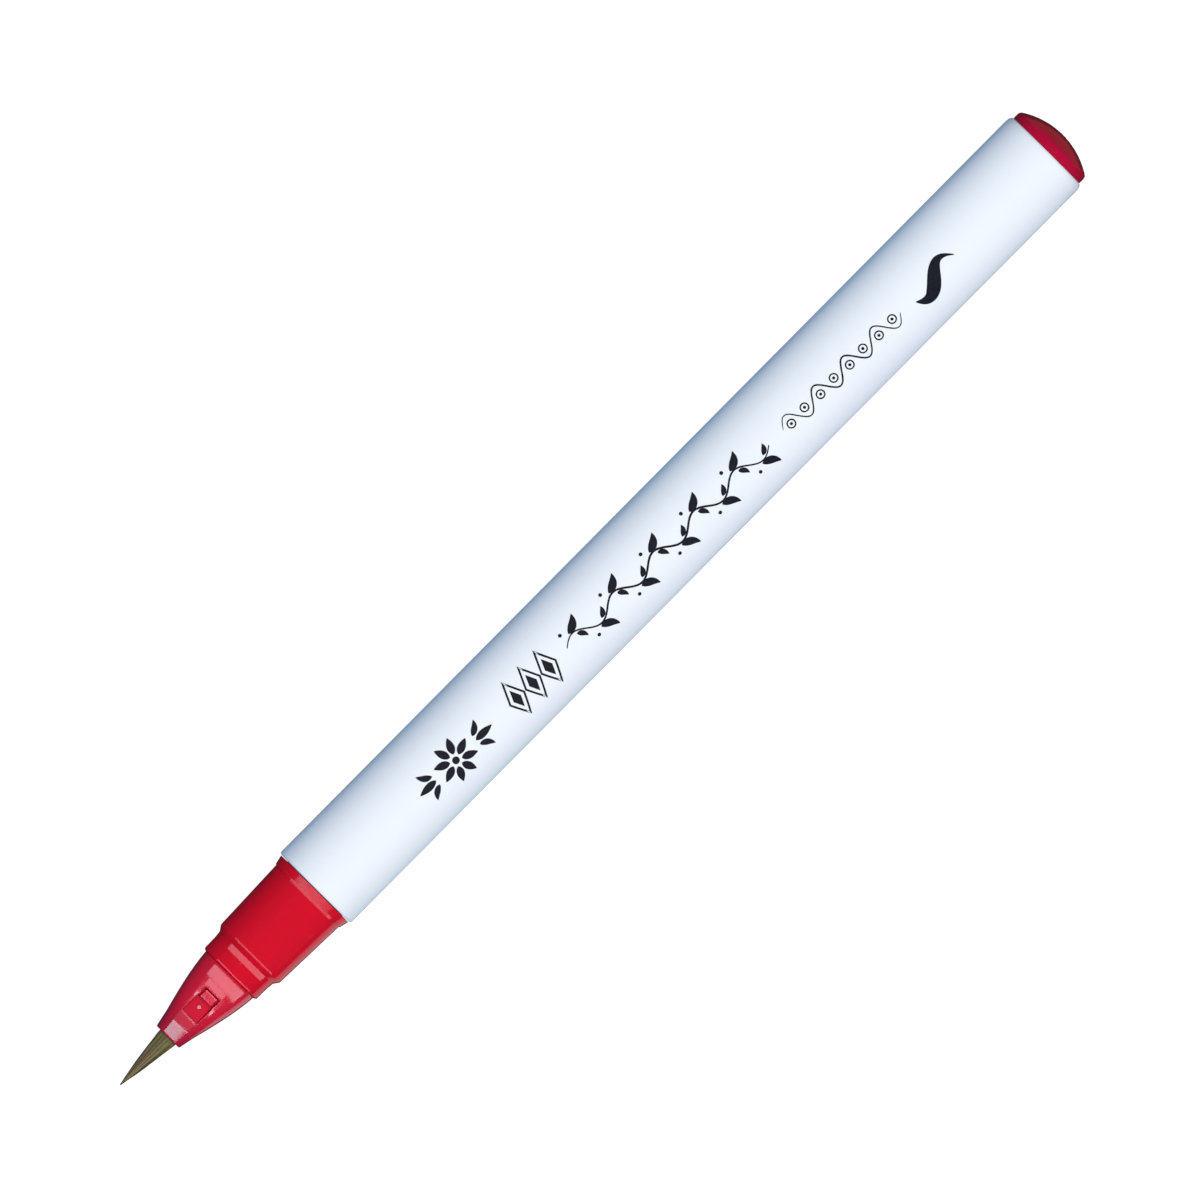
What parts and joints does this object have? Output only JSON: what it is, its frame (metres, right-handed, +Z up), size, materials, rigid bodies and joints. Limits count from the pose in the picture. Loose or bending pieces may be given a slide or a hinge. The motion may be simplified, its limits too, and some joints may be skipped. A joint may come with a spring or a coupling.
{
  "type": "brush pen",
  "caption": "Capless round brush pen: white barrel with a fibre ink reservoir, red stepped section and nose, red tail plug, and a sprung tapered tuft of bristles.",
  "frame": {"origin": "middle of the pen's length, under its axis, on the surface that it lies on", "axes": "+X along the pen from the tuft's point to the tail; +Z up, out of the nose's upper window and the printed side"},
  "size_m": [0.1422, 0.0106, 0.0105],
  "materials": {
    "barrel": "satin",
    "section": "satin",
    "nose": "gloss",
    "tail_plug": "gloss",
    "bristle": "satin",
    "fused_bristle": "satin",
    "feed_fibre": "matte",
    "reservoir_fibre": "matte",
    "film": "gloss",
    "print_ink": "satin"
  },
  "bodies": {
    "pen": {"barrel": "barrel", "tail_plug": "tail_plug", "section": "section", "nose_cone": "nose", "tuft_holder": "nose", "tuft_root": "fused_bristle", "feed_core": "feed_fibre", "ink_reservoir": "reservoir_fibre", "reservoir_film": "film"},
    "tuft": {"tuft": "bristle"}
  },
  "joints": [
    {"name": "tuft_bend", "type": "hinge", "parent": "pen", "child": "tuft", "pos_m": [-0.06422, 0, 0.00527], "axis": [0, 0, 1], "range_deg": [-40, 40], "stiffness_Nm_per_rad": 0.0004}
  ]
}
